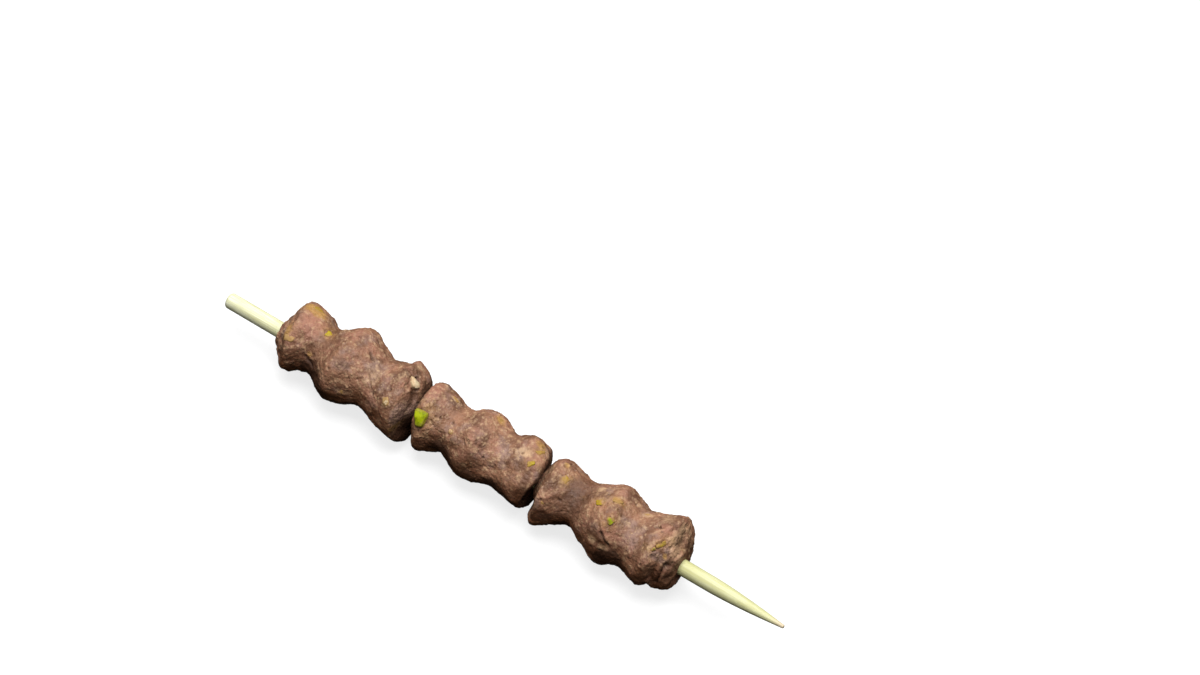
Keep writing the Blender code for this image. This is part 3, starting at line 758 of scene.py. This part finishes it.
def stick_grid(length, radius):
    """The stick: a rounded blunt end, a straight run and a convex taper to a small rounded point, as rings whose
    radius is the profile times one plus fine lengthwise fibres."""
    start, end = STICK_START, STICK_START + length
    turn = np.linspace(0, math.pi / 2, TURN_RINGS)
    blunt_x = start + BLUNT_ROUNDING * (1 - np.cos(turn))
    blunt_r = radius - BLUNT_ROUNDING * (1 - np.sin(turn))
    cap_r = np.linspace(0.12, 0.92, CAP_RINGS) * (radius - BLUNT_ROUNDING)
    run_x = np.arange(start + BLUNT_ROUNDING, end - TAPER_LENGTH, RUN_STEP)[1:]
    share = np.linspace(0, 1, TAPER_RINGS)
    taper_x = end - TAPER_LENGTH + share * (TAPER_LENGTH - POINT_ROUNDING)
    taper_r = radius - (radius - POINT_RADIUS) * share**TAPER_POWER
    tip_x = end - POINT_ROUNDING * (1 - np.sin(turn[1:]))
    tip_r = POINT_RADIUS - POINT_ROUNDING * (1 - np.cos(turn[1:]))
    x = np.concatenate((np.full(CAP_RINGS, start), blunt_x, run_x, taper_x, tip_x))
    r = np.concatenate((cap_r, blunt_r, np.full(len(run_x), radius), taper_r, tip_r))
    angle = np.arange(STICK_COLUMNS) * (FULL_TURN / STICK_COLUMNS)
    x, r = x[:, None], r[:, None]
    direction = stacked(x / FIBRE_STRETCH, np.cos(angle) * radius, np.sin(angle) * radius)
    fibres = sum(height * lattice_noise(direction, size, seed) for height, size, seed in FIBRES)
    r = r * (1 + fibres * smooth_step(start, start + 1.5 * MM, x))
    across = np.stack((0 * r, r * np.cos(angle), r * np.sin(angle)), -1)
    marks = np.maximum(SAW_MARK_HEIGHT * lattice_noise(across, SAW_MARK_SIZE, 53), 0)
    sawn = np.where(x <= start + 1e-9, marks, 0)
    return across + stacked(x + sawn, STICK_SIDE, STICK_HEIGHT)


class Value:
    """A number or colour on its way through a material. Arithmetic on it adds Math nodes."""

    def __init__(self, paint, socket):
        self.paint = paint
        self.socket = socket

    def math(self, operation, *numbers):
        inputs = dict(enumerate(numbers))
        return self.paint.node("ShaderNodeMath", {"operation": operation}, inputs)

    def __add__(self, other):
        return self.math("ADD", self, other)

    def __sub__(self, other):
        return self.math("SUBTRACT", self, other)

    def __rsub__(self, other):
        return self.math("SUBTRACT", other, self)

    def __mul__(self, other):
        return self.math("MULTIPLY", self, other)

    __radd__ = __add__
    __rmul__ = __mul__

    def between(self, low, high):
        """0 below low, 1 above high, smooth between them; the other way round where high is the smaller."""
        inputs = {"Value": self, "From Min": low, "From Max": high}
        return self.paint.node("ShaderNodeMapRange", {"interpolation_type": "SMOOTHSTEP"}, inputs)


class Nodes:
    """A node tree, and the ways to add to it."""

    def __init__(self, tree):
        self.tree = tree

    def put(self, socket, value):
        if isinstance(value, Value):
            self.tree.links.new(value.socket, socket)
        else:
            socket.default_value = value

    def node(self, kind, settings=None, inputs=None, output=0):
        made = self.tree.nodes.new(kind)
        for key, value in (settings or {}).items():
            setattr(made, key, value)
        taken, given = ({end.identifier: end for end in side} for side in (made.inputs, made.outputs))
        for key, value in (inputs or {}).items():
            self.put(taken[key] if key in taken else made.inputs[key], value)
        return Value(self, given[output] if output in given else made.outputs[output])

    def mix(self, factor, first, second):
        """first where factor is 0 and second where it is 1. Both are colours: a Value, or three parts."""
        first, second = (c if isinstance(c, Value) else (*c, 1) for c in (first, second))
        inputs = {"Factor_Float": factor, "A_Color": first, "B_Color": second}
        return self.node("ShaderNodeMix", {"data_type": "RGBA"}, inputs, "Result_Color")

    def layered(self, colour, *layers):
        """The colour with others laid over it in turn, each given as (how strongly, colour)."""
        for share, tone in layers:
            colour = self.mix(share, colour, tone)
        return colour


class Paint(Nodes):
    """A material with one Principled shader, and the nodes that feed it."""

    def __init__(self, name):
        self.material = bpy.data.materials.new(name)
        self.material.use_nodes = True
        super().__init__(self.material.node_tree)
        self.shader = next(node for node in self.tree.nodes if node.type == "BSDF_PRINCIPLED")
        self.place = self.node("ShaderNodeTexCoord", output="Object")

    def scaled(self, scale):
        """The place with each direction scaled."""
        return self.node("ShaderNodeVectorMath", {"operation": "MULTIPLY"}, {0: self.place, 1: scale})

    def noise(self, size, seed, detail=2, roughness=0.5, place=None):
        """Cloudy noise from 0 to 1 whose lumps are about size across."""
        inputs = {"Vector": place or self.place, "W": seed, "Scale": 1 / size}
        inputs |= {"Detail": detail, "Roughness": roughness}
        return self.node("ShaderNodeTexNoise", {"noise_dimensions": "4D"}, inputs, "Fac")

    def cells(self, size, seed):
        """Distance to the nearest of scattered points, in cells of that size."""
        inputs = {"Vector": self.place, "W": seed, "Scale": 1 / size}
        return self.node("ShaderNodeTexVoronoi", {"voronoi_dimensions": "4D"}, inputs, "Distance")

    def attribute(self, name):
        return self.node("ShaderNodeAttribute", {"attribute_name": name}, output="Fac")

    def finish(self, colour, roughness, bump, distance, **constants):
        """Links what varies, and sets what is the same all over on the shader's own sockets."""
        self.put(self.shader.inputs["Base Color"], colour)
        self.put(self.shader.inputs["Roughness"], roughness)
        relief = self.node("ShaderNodeBump", None, {"Height": bump, "Distance": distance}, "Normal")
        self.put(self.shader.inputs["Normal"], relief)
        for name, value in constants.items():
            self.put(self.shader.inputs[name.replace("_", " ")], value)
        return self.material


def meat_finish(settings):
    """Browned ground meat: clouded brown, pinkish and grey-brown patches, pale grains of bulgur and fat, and
    painted shade: dark pits, creases, grooves and gaps, near-black shade patches, and darker, browner
    undersides."""
    paint = Paint("ground_meat")
    deep, rosy, grey, pale = settings.deep_brown, settings.rosy, settings.grey, settings.pale
    ragged = paint.noise(1.4 * MM, 20, 4, 0.6) - 0.5

    def patch(name):
        return (paint.attribute(name) + ragged * 0.9).between(0.2, 0.7)

    stain = paint.attribute("stain") * paint.noise(1.5 * MM, 8).between(0.3, 0.7)
    below = paint.attribute("below")
    mottle = paint.noise(1.5 * MM, 5, 5, 0.75)
    fleck = paint.cells(1.15 * MM, 6).between(0.36, 0.14) * paint.noise(3.1 * MM, 7).between(0.44, 0.56)
    colour = paint.layered(
        paint.mix(paint.noise(7 * MM, 1, 3).between(0.36, 0.64), deep, settings.brown),
        (paint.noise(5 * MM, 2, 3).between(0.46, 0.66) * 0.6, rosy),
        (paint.noise(4.2 * MM, 3, 4).between(0.52, 0.68) * 0.55, grey),
        (patch("rosy") * 0.8, rosy),
        (patch("lilac") * 0.65, grey),
        (paint.noise(2 * MM, 4, 4, 0.65).between(0.50, 0.70) * 0.6, pale),
        (patch("ochre") * 0.8, settings.ochre),
        (mottle.between(0.50, 0.34) * 0.5, deep),
        (mottle.between(0.52, 0.68) * 0.32, pale),
        (fleck * 0.5, pale),
        (paint.attribute("grain") * 0.45, pale),
        # Darker patches, partly painted shade
        (patch("deep") * 0.8, deep),
        (patch("pale") * 0.65, pale),
        (stain * 0.6, settings.ochre),
        # Painted shade in the low places of the texture
        (paint.attribute("cavity").between(0.5, 0.95) * 0.55, deep),
        # Painted shade on the undersides: browner, then near-black towards the bottom, partly also a browner
        # fried underside
        (below.between(0.10, 0.70) * 0.75, settings.underside_shade_and_browning),
        (below.between(0.64, 0.92) * 0.9, settings.painted_shade),
        # Painted shadow under the waists, in the gaps and on the undersides
        (patch("shade") * 0.9, settings.painted_shade),
        # Painted shade in pits, creases, grooves, round the chips and on the end faces between pieces
        (paint.attribute("hollow") * 0.75, settings.painted_shade),
    )
    roughness = 0.60 - paint.noise(2.5 * MM, 9).between(0.45, 0.7) * 0.18
    bump = paint.noise(0.45 * MM, 10, 3, 0.6) + paint.cells(0.8 * MM, 11) * -0.5
    return paint.finish(colour, roughness, bump, 0.24 * MM, Specular_IOR_Level=0.3)


def chip_finish(name, light, dark, rim, gloss):
    """Cut nut or herb: lighter where it stands out more, with darker veins, and meat-coloured where the meat
    closes over it."""
    paint = Paint(name)
    vein = paint.noise(1.3 * MM, 12, 3, 0.6).between(0.38, 0.60)
    tone = paint.attribute("tone")
    colour = paint.mix(tone * 0.35 + vein * 0.65, dark, light)
    patchy = (paint.noise(0.8 * MM, 19, 3, 0.6) - 0.5) * 1.4
    covered = (paint.attribute("edge") + patchy + (1 - tone) * 0.18).between(0.25, 0.85)
    colour = paint.mix(covered * (0.95 - tone * 0.6), colour, rim)
    bump = paint.noise(0.35 * MM, 13, 3)
    return paint.finish(colour, gloss, bump, 0.08 * MM, Specular_IOR_Level=0.2)


def bamboo_finish(settings):
    """Pale bamboo: fine fibres stretched along the stick, a few darker dashes, a greener tone beside the meat,
    and a duller point."""
    paint = Paint("bamboo")
    fibre = paint.noise(0.35 * MM, 14, 3, 0.6, paint.scaled((0.03, 1, 1)))
    dash = paint.noise(0.22 * MM, 15, 1, 0.5, paint.scaled((0.09, 1, 1)))
    colour = paint.layered(
        paint.mix(fibre.between(0.35, 0.65), settings.shade, settings.colour),
        (dash.between(0.66, 0.76) * 0.5, settings.dash),
        (paint.noise(9 * MM, 16).between(0.45, 0.7) * 0.4, settings.green),
        (paint.attribute("green_share") * 0.8, settings.green),
        (paint.attribute("point") * 0.7, settings.dull),
    )
    return paint.finish(colour, 0.42 + fibre * 0.2, fibre, 0.05 * MM)


def colour_setting(name, description, *screen_colour):
    colour = tint(*screen_colour)
    return FloatVectorProperty(name=name, description=description, subtype="COLOR", default=colour)


def length_setting(name, description, default):
    return FloatProperty(name=name, description=description, default=default, unit="LENGTH", precision=5)


class KibbehMeatSettings(bpy.types.PropertyGroup):
    rings: IntProperty(name="Rings", description="Rings along each piece", default=330, min=40, max=400)
    columns: IntProperty(name="Columns", description="Points round each ring", default=288, min=40, max=300)
    texture_height: length_setting("Texture height", "Height of the kneaded texture", 1 * MM)
    grain_height: length_setting("Grain height", "How far grains stand out", 0.14 * MM)
    pit_depth: length_setting("Pit depth", "Depth of the open pits", 0.36 * MM)
    crease_depth: length_setting("Crease depth", "Depth of the creases", 0.18 * MM)
    brown: colour_setting("Brown", "Main colour of the meat", 142, 101, 77)
    deep_brown: colour_setting("Deep brown", "Darker patches", 94, 63, 45)
    rosy: colour_setting("Rosy", "Pinkish patches", 151, 104, 85)
    grey: colour_setting("Grey", "Grey-brown patches", 138, 112, 102)
    pale: colour_setting("Pale", "Grains of bulgur and fat", 187, 154, 120)
    ochre: colour_setting("Ochre", "Stain round the chips", 168, 128, 70)
    # Painted shade on the undersides, which also stands for a browner fried underside
    underside_shade_and_browning: colour_setting("Browned", "Browner underside", 104, 60, 32)
    # Painted shade: the near-black colour laid into pits, creases, grooves, the gaps between pieces, shade
    # patches and the undersides
    painted_shade: colour_setting("Pits", "Bottom of pits and creases", 60, 36, 22)


class KibbehChipSettings(bpy.types.PropertyGroup):
    green: colour_setting("Green", "Pistachio, light parts", 148, 158, 0)
    green_dark: colour_setting("Dark green", "Pistachio, dark parts", 92, 102, 2)
    gold: colour_setting("Gold", "Golden chips, light parts", 160, 144, 24)
    gold_dark: colour_setting("Dark gold", "Golden chips, dark parts", 144, 108, 34)
    cream: colour_setting("Cream", "Pale nut, light parts", 204, 186, 152)
    cream_dark: colour_setting("Dark cream", "Pale nut, dark parts", 178, 142, 104)
    rim: colour_setting("Rim", "Where the meat closes over a chip", 148, 114, 66)
    gloss: FloatProperty(
        name="Roughness",
        description="How dull the chips are",
        subtype="FACTOR",
        default=0.55,
        min=0,
        max=1,
    )


class KibbehStickSettings(bpy.types.PropertyGroup):
    length: length_setting("Length", "Whole length of the stick", STICK_BOX[1].x - STICK_BOX[0].x)
    radius: length_setting("Radius", "Radius of the straight run", (STICK_BOX[1].y - STICK_BOX[0].y) / 2)
    colour: colour_setting("Colour", "Pale fibres", 224, 225, 196)
    shade: colour_setting("Shade", "Darker fibres", 200, 198, 152)
    green: colour_setting("Green tone", "Greener stretches", 178, 176, 116)
    dash: colour_setting("Dashes", "Short dark fibres", 164, 148, 96)
    dull: colour_setting("Point", "Duller point", 196, 172, 150)


class KibbehStageSettings(bpy.types.PropertyGroup):
    floor_size: FloatProperty(name="Floor size", description="Side of the floor", unit="LENGTH", default=6)
    floor_colour: FloatVectorProperty(
        name="Floor colour", description="Pale floor", subtype="COLOR", default=(0.27, 0.27, 0.27)
    )
    sky_strength: FloatProperty(name="Sky strength", description="Light from overhead", default=0.5, min=0)
    sky_side: FloatProperty(name="Side strength", description="Light from the sides", default=0.10, min=0)
    key_power: FloatProperty(
        name="Key light", description="Large soft light, in watts", default=23, min=0
    )


class KIBBEH_OT_press_meat(bpy.types.Operator):
    """Make the pieces of ground meat"""

    bl_idname = "kibbeh.press_meat"
    bl_label = "Press the meat"

    def execute(self, context):
        settings = context.scene.kibbeh_meat
        finish = meat_finish(settings)
        for number, (name, node, *_) in enumerate(MEAT_PIECES):
            points, looks = meat_piece(number, settings)
            mesh = shaped_mesh(name, np.vstack((points, bore_rings(points))), "joined")
            padding = np.zeros((BORE_RINGS, settings.columns))
            for look, values in looks.items():
                store(mesh, look, np.vstack((values, padding)))
            show(name, mesh, finish, (node,))
        return {"FINISHED"}


class KIBBEH_OT_set_chips(bpy.types.Operator):
    """Set the chips of nut and herb in the meat"""

    bl_idname = "kibbeh.set_chips"
    bl_label = "Set the chips"

    def execute(self, context):
        meat, colours = context.scene.kibbeh_meat, context.scene.kibbeh_chips
        surfaces = [meat_form(*piece[2:], meat.rings, meat.columns)[0] for piece in MEAT_PIECES]
        normals = [grid_normals(surface) for surface in surfaces]
        tones = {
            "pistachio_chips": (colours.green, colours.green_dark),
            "golden_chips": (colours.gold, colours.gold_dark),
            "pale_nut_chips": (colours.cream, colours.cream_dark),
        }
        faces = closed_ball_faces(CHIP_ROWS, CHIP_COLUMNS)
        for group, (kind, chips) in enumerate(CHIPS.items()):
            parts, tone, edges = [], [], []
            for seed, chip in enumerate(chips, start=100 * group):
                sunk = chip[7]
                seat = Seat(surfaces[chip[0]], normals[chip[0]], chip)
                points, edge = chip_points(seat, seed, chip[-1], sunk)
                ends = points[0].mean(0), points[-1].mean(0)
                parts.append((np.vstack((points.reshape(-1, 3), *ends)), faces))
                edges.append(np.append(edge.ravel(), (edge[0].mean(), edge[-1].mean())))
                tone.append(np.full(len(edges[-1]), smooth_step(0.82, 0.64, sunk)))
            vertices, triangles = joined(parts)
            mesh = bpy.data.meshes.new(kind)
            mesh.from_pydata(vertices.tolist(), [], triangles.tolist())
            mesh.shade_smooth()
            store(mesh, "tone", np.concatenate(tone))
            store(mesh, "edge", np.concatenate(edges))
            show(kind, mesh, chip_finish(kind, *tones[kind], colours.rim, colours.gloss))
        return {"FINISHED"}


class KIBBEH_OT_thread_stick(bpy.types.Operator):
    """Make the bamboo stick"""

    bl_idname = "kibbeh.thread_stick"
    bl_label = "Thread the stick"

    def execute(self, context):
        settings = context.scene.kibbeh_stick
        points = stick_grid(settings.length, settings.radius)
        mesh = shaped_mesh("pointed_bamboo_stick", points, "poles")
        start, end = HANDLE_OUTLINE[0][0] * MM, POINT_OUTLINE[-1][0] * MM
        x = np.append(points[..., 0].ravel(), points[[0, -1], 0, 0])
        low = (STICK_HEIGHT - points[..., 2].ravel()) / settings.radius
        ahead = 0.75 + 0.25 * smooth_step(end + SOAKED_LENGTH, end, x)
        # Greener and darker towards the bottom of the stick as well
        ahead[: len(low)] += 0.3 * np.maximum(low, 0)
        behind = 0.5 * smooth_step(start - SOAKED_HANDLE_LENGTH, start, x)
        store(mesh, "green_share", np.where(x > 0, ahead, behind))
        store(mesh, "point", smooth_step(x.max() - DULL_LENGTH, x.max(), x))
        show("pointed_bamboo_stick", mesh, bamboo_finish(settings), ("bamboo_stick",))
        return {"FINISHED"}


class KIBBEH_OT_set_stage(bpy.types.Operator):
    """Make the floor, the lights and the camera"""

    bl_idname = "kibbeh.set_stage"
    bl_label = "Set the stage"

    def execute(self, context):
        scene = context.scene
        settings = scene.kibbeh_stage
        half = settings.floor_size / 2
        corners = [(x * half, y * half, 0) for x, y in ((-1, -1), (1, -1), (1, 1), (-1, 1))]
        mesh = bpy.data.meshes.new("pale_floor")
        mesh.from_pydata(corners, [], [(0, 1, 2, 3)])
        paint = Paint("pale_floor")
        shade = paint.noise(0.4, 17).between(0.3, 0.7) * 0.02
        colour = paint.mix(shade, settings.floor_colour, FLOOR_CLOUD)
        glow = {"Emission_Color": WHITE, "Emission_Strength": FLOOR_GLOW, "Specular_IOR_Level": 0.0}
        mesh.materials.append(paint.finish(colour, 0.9, paint.noise(2 * MM, 18), 0.01 * MM, **glow))
        floor = bpy.data.objects.new("pale_floor", mesh)
        scene.collection.objects.link(floor)
        floor.visible_diffuse = floor.visible_glossy = False

        world = bpy.data.worlds.new("soft_sky")
        world.use_nodes = True
        sky = Nodes(world.node_tree)
        background = next(node for node in sky.tree.nodes if node.type == "BACKGROUND")
        background.inputs["Color"].default_value = WHITE
        way = sky.node("ShaderNodeTexCoord", output="Generated")
        rise = sky.node("ShaderNodeSeparateXYZ", None, {0: way}, "Z")
        sides = settings.sky_side * rise.between(-0.05, 0.05)
        overhead = sides + rise.between(0, 1) * settings.sky_strength
        seen = sky.node("ShaderNodeLightPath", output="Is Camera Ray")
        sky.put(background.inputs["Strength"], overhead * (1 - seen) + seen)
        scene.world = world
        self.lamp(scene, "key_light", KEY_PLACE, settings.key_power, KEY_SIZE)

        turn, rise = CAMERA_TURN, CAMERA_RISE
        back = Vector((math.sin(turn) * math.cos(rise), -math.cos(turn) * math.cos(rise), math.sin(rise)))
        right = Vector((math.cos(turn), math.sin(turn), 0))
        up = back.cross(right)
        middle = Vector((0, STICK_SIDE, STICK_HEIGHT)) + right * FRAME_OFFSET[0] + up * FRAME_OFFSET[1]
        data = bpy.data.cameras.new("camera")
        data.sensor_width = SENSOR_WIDTH
        data.lens = SENSOR_WIDTH * CAMERA_DISTANCE / FRAME_WIDTH
        camera = bpy.data.objects.new("camera", data)
        scene.collection.objects.link(camera)
        pose = Matrix((right, up, back)).transposed().to_4x4()
        camera.matrix_world = Matrix.Translation(middle + back * CAMERA_DISTANCE) @ pose
        scene.camera = camera
        scene.view_settings.view_transform = "Standard"
        return {"FINISHED"}

    @staticmethod
    def lamp(scene, name, place, power, size):
        """A square area light that faces the skewer."""
        light = bpy.data.lights.new(name, "AREA")
        light.energy = power
        light.size = size
        lamp = bpy.data.objects.new(name, light)
        lamp.location = place
        lamp.rotation_euler = Vector(place).to_track_quat("Z", "Y").to_euler()
        scene.collection.objects.link(lamp)


class KIBBEH_PT_panel(bpy.types.Panel):
    """The skewer's settings and steps"""

    bl_idname = "KIBBEH_PT_panel"
    bl_label = "Kibbeh skewer"
    bl_space_type = "VIEW_3D"
    bl_region_type = "UI"
    bl_category = "Kibbeh"

    def draw(self, context):
        for step, group in STEPS:
            box = self.layout.box()
            box.operator(step.bl_idname)
            settings = getattr(context.scene, group)
            for name in settings.bl_rna.properties.keys():
                if name not in ("rna_type", "name"):
                    box.prop(settings, name)


STEPS = (
    (KIBBEH_OT_thread_stick, "kibbeh_stick"),
    (KIBBEH_OT_press_meat, "kibbeh_meat"),
    (KIBBEH_OT_set_chips, "kibbeh_chips"),
    (KIBBEH_OT_set_stage, "kibbeh_stage"),
)
SETTINGS = {
    "kibbeh_stick": KibbehStickSettings,
    "kibbeh_meat": KibbehMeatSettings,
    "kibbeh_chips": KibbehChipSettings,
    "kibbeh_stage": KibbehStageSettings,
}
CLASSES = (*SETTINGS.values(), *(step for step, _ in STEPS), KIBBEH_PT_panel)


def register():
    for cls in CLASSES:
        bpy.utils.register_class(cls)
    for name, group in SETTINGS.items():
        setattr(bpy.types.Scene, name, PointerProperty(type=group))


def unregister():
    for name in SETTINGS:
        delattr(bpy.types.Scene, name)
    for cls in reversed(CLASSES):
        bpy.utils.unregister_class(cls)


def main():
    register()
    bpy.ops.kibbeh.thread_stick()
    bpy.ops.kibbeh.press_meat()
    bpy.ops.kibbeh.set_chips()
    bpy.ops.kibbeh.set_stage()


if __name__ == "__main__":
    main()
